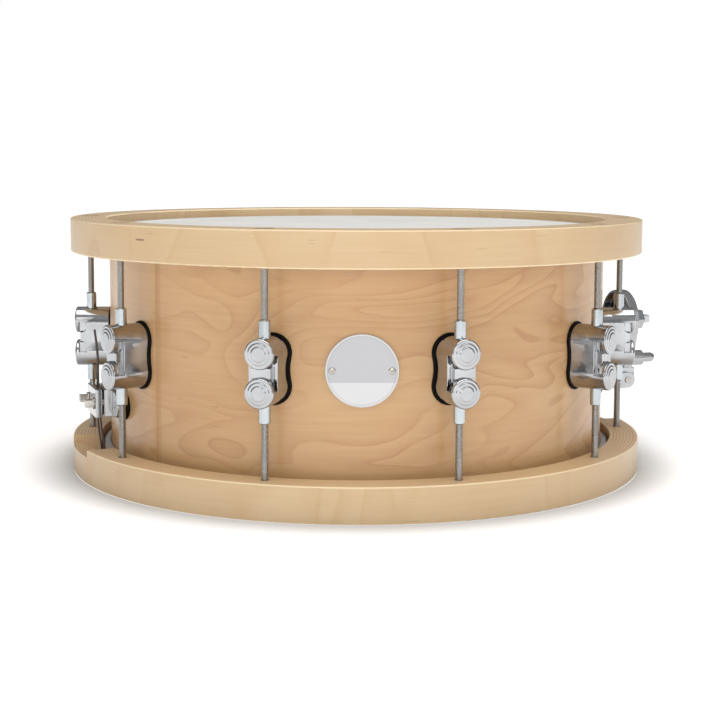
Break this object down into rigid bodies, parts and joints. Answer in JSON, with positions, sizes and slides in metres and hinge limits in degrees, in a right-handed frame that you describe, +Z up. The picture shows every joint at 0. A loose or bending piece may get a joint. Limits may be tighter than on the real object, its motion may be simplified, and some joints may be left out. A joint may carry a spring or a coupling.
{
  "type": "snare drum",
  "caption": "Wooden snare drum with thick wood hoops, tube lugs on rubber gaskets, coated head, snare wires and a lever throw-off.",
  "frame": {"origin": "on the drum's axis at the lower face of the snare-side hoop, the surface it stands on", "axes": "+Z up along the drum's axis from the snare side to the batter head; -Y towards the badge, the front; the strainer is 18 degrees behind +X"},
  "size_m": [0.4419, 0.4092, 0.1782],
  "materials": {
    "shell_maple": "satin lacquer over maple",
    "hoop_maple": "satin lacquer over laminated maple",
    "coated_film": "white coated polyester",
    "clear_film": "hazy clear polyester",
    "flesh_hoop_alloy": "brushed",
    "chrome": "polished plate",
    "rod_steel": "threaded plated steel",
    "zinc_steel": "plated screws",
    "wire_steel": "bright wire",
    "badge_metal": "brushed and polished plate",
    "rubber": "matte black",
    "cord": "waxed dark grey cord"
  },
  "bodies": {
    "drum": {"badge": "badge_metal", "badge_screws": "zinc_steel", "batter_flesh_hoop": "flesh_hoop_alloy", "batter_head_film": "coated_film", "batter_hoop": "hoop_maple", "butt_base": "chrome", "butt_clamp_plate": "chrome", "butt_clamp_screws": "zinc_steel", "butt_cord": "cord", "lever_rivets": "zinc_steel", "lug_casting_01": "chrome", "lug_casting_02": "chrome", "lug_casting_03": "chrome", "lug_casting_04": "chrome", "lug_casting_05": "chrome", "lug_casting_06": "chrome", "lug_casting_07": "chrome", "lug_casting_08": "chrome", "lug_casting_09": "chrome", "lug_casting_10": "chrome", "lug_gaskets": "rubber", "mount_screws": "zinc_steel", "plate_gaskets": "rubber", "rod_ferrules": "chrome", "shell": "shell_maple", "snare_flesh_hoop": "flesh_hoop_alloy", "snare_head_film": "clear_film", "snare_side_hoop": "hoop_maple", "strainer_base": "chrome", "strainer_cord": "cord", "swivel_nuts": "chrome", "vent_grommet": "chrome"},
    "slider": {"strainer_slider": "chrome", "strainer_cord_clamp": "chrome"},
    "lever": {"strainer_lever": "chrome", "lever_crank_pin": "zinc_steel"},
    "tension_knob": {"tension_knob": "chrome"},
    "limit_knob": {"limit_knob": "chrome"},
    "snares": {"snare_wires": "wire_steel"},
    "batter_tension_rod_01": {"batter_tension_rod_01": "rod_steel"},
    "snare_tension_rod_01": {"snare_tension_rod_01": "rod_steel"},
    "batter_tension_rod_02": {"batter_tension_rod_02": "rod_steel"},
    "snare_tension_rod_02": {"snare_tension_rod_02": "rod_steel"},
    "batter_tension_rod_03": {"batter_tension_rod_03": "rod_steel"},
    "snare_tension_rod_03": {"snare_tension_rod_03": "rod_steel"},
    "batter_tension_rod_04": {"batter_tension_rod_04": "rod_steel"},
    "snare_tension_rod_04": {"snare_tension_rod_04": "rod_steel"},
    "batter_tension_rod_05": {"batter_tension_rod_05": "rod_steel"},
    "snare_tension_rod_05": {"snare_tension_rod_05": "rod_steel"},
    "batter_tension_rod_06": {"batter_tension_rod_06": "rod_steel"},
    "snare_tension_rod_06": {"snare_tension_rod_06": "rod_steel"},
    "batter_tension_rod_07": {"batter_tension_rod_07": "rod_steel"},
    "snare_tension_rod_07": {"snare_tension_rod_07": "rod_steel"},
    "batter_tension_rod_08": {"batter_tension_rod_08": "rod_steel"},
    "snare_tension_rod_08": {"snare_tension_rod_08": "rod_steel"},
    "batter_tension_rod_09": {"batter_tension_rod_09": "rod_steel"},
    "snare_tension_rod_09": {"snare_tension_rod_09": "rod_steel"},
    "batter_tension_rod_10": {"batter_tension_rod_10": "rod_steel"},
    "snare_tension_rod_10": {"snare_tension_rod_10": "rod_steel"}
  },
  "joints": [
    {"name": "lever_hinge", "type": "hinge", "parent": "drum", "child": "lever", "pos_m": [0.20733, 0.06737, 0.05], "axis": [-0.309, 0.9511, 0], "range_deg": [0, 80]},
    {"name": "slider_slide", "type": "slide", "parent": "drum", "child": "slider", "axis": [0, 0, -1], "range_m": [0, 0.008], "deforming": ["strainer_cord"]},
    {"name": "snare_drop", "type": "slide", "parent": "drum", "child": "snares", "axis": [0, 0, -1], "range_m": [0, 0.0012], "deforming": ["butt_cord"]},
    {"name": "tension_knob_turn", "type": "hinge", "parent": "lever", "child": "tension_knob", "pos_m": [0.21113, 0.0686, 0.0957], "axis": [0.9511, 0.309, 0], "continuous": true},
    {"name": "limit_knob_turn", "type": "hinge", "parent": "lever", "child": "limit_knob", "pos_m": [0.21113, 0.0686, 0.065], "axis": [0.9511, 0.309, 0], "continuous": true},
    {"name": "batter_tension_rod_01_turn", "type": "hinge", "parent": "drum", "child": "batter_tension_rod_01", "pos_m": [0.05966, -0.18362, 0.1582], "axis": [0, 0, 1], "continuous": true},
    {"name": "snare_tension_rod_01_turn", "type": "hinge", "parent": "drum", "child": "snare_tension_rod_01", "pos_m": [0.05966, -0.18362, 0.02], "axis": [0, 0, -1], "continuous": true},
    {"name": "batter_tension_rod_02_turn", "type": "hinge", "parent": "drum", "child": "batter_tension_rod_02", "pos_m": [0.1562, -0.11348, 0.1582], "axis": [0, 0, 1], "continuous": true},
    {"name": "snare_tension_rod_02_turn", "type": "hinge", "parent": "drum", "child": "snare_tension_rod_02", "pos_m": [0.1562, -0.11348, 0.02], "axis": [0, 0, -1], "continuous": true},
    {"name": "batter_tension_rod_03_turn", "type": "hinge", "parent": "drum", "child": "batter_tension_rod_03", "pos_m": [0.19307, 0, 0.1582], "axis": [0, 0, 1], "continuous": true},
    {"name": "snare_tension_rod_03_turn", "type": "hinge", "parent": "drum", "child": "snare_tension_rod_03", "pos_m": [0.19307, 0, 0.02], "axis": [0, 0, -1], "continuous": true},
    {"name": "batter_tension_rod_04_turn", "type": "hinge", "parent": "drum", "child": "batter_tension_rod_04", "pos_m": [0.1562, 0.11348, 0.1582], "axis": [0, 0, 1], "continuous": true},
    {"name": "snare_tension_rod_04_turn", "type": "hinge", "parent": "drum", "child": "snare_tension_rod_04", "pos_m": [0.1562, 0.11348, 0.02], "axis": [0, 0, -1], "continuous": true},
    {"name": "batter_tension_rod_05_turn", "type": "hinge", "parent": "drum", "child": "batter_tension_rod_05", "pos_m": [0.05966, 0.18362, 0.1582], "axis": [0, 0, 1], "continuous": true},
    {"name": "snare_tension_rod_05_turn", "type": "hinge", "parent": "drum", "child": "snare_tension_rod_05", "pos_m": [0.05966, 0.18362, 0.02], "axis": [0, 0, -1], "continuous": true},
    {"name": "batter_tension_rod_06_turn", "type": "hinge", "parent": "drum", "child": "batter_tension_rod_06", "pos_m": [-0.05966, 0.18362, 0.1582], "axis": [0, 0, 1], "continuous": true},
    {"name": "snare_tension_rod_06_turn", "type": "hinge", "parent": "drum", "child": "snare_tension_rod_06", "pos_m": [-0.05966, 0.18362, 0.02], "axis": [0, 0, -1], "continuous": true},
    {"name": "batter_tension_rod_07_turn", "type": "hinge", "parent": "drum", "child": "batter_tension_rod_07", "pos_m": [-0.1562, 0.11348, 0.1582], "axis": [0, 0, 1], "continuous": true},
    {"name": "snare_tension_rod_07_turn", "type": "hinge", "parent": "drum", "child": "snare_tension_rod_07", "pos_m": [-0.1562, 0.11348, 0.02], "axis": [0, 0, -1], "continuous": true},
    {"name": "batter_tension_rod_08_turn", "type": "hinge", "parent": "drum", "child": "batter_tension_rod_08", "pos_m": [-0.19307, 0, 0.1582], "axis": [0, 0, 1], "continuous": true},
    {"name": "snare_tension_rod_08_turn", "type": "hinge", "parent": "drum", "child": "snare_tension_rod_08", "pos_m": [-0.19307, 0, 0.02], "axis": [0, 0, -1], "continuous": true},
    {"name": "batter_tension_rod_09_turn", "type": "hinge", "parent": "drum", "child": "batter_tension_rod_09", "pos_m": [-0.1562, -0.11348, 0.1582], "axis": [0, 0, 1], "continuous": true},
    {"name": "snare_tension_rod_09_turn", "type": "hinge", "parent": "drum", "child": "snare_tension_rod_09", "pos_m": [-0.1562, -0.11348, 0.02], "axis": [0, 0, -1], "continuous": true},
    {"name": "batter_tension_rod_10_turn", "type": "hinge", "parent": "drum", "child": "batter_tension_rod_10", "pos_m": [-0.05966, -0.18362, 0.1582], "axis": [0, 0, 1], "continuous": true},
    {"name": "snare_tension_rod_10_turn", "type": "hinge", "parent": "drum", "child": "snare_tension_rod_10", "pos_m": [-0.05966, -0.18362, 0.02], "axis": [0, 0, -1], "continuous": true}
  ],
  "couplings": [
    {"joint": "slider_slide", "follows": "lever_hinge", "m_per_rad": 0.0057296},
    {"joint": "snare_drop", "follows": "lever_hinge", "m_per_rad": 0.00085944}
  ]
}
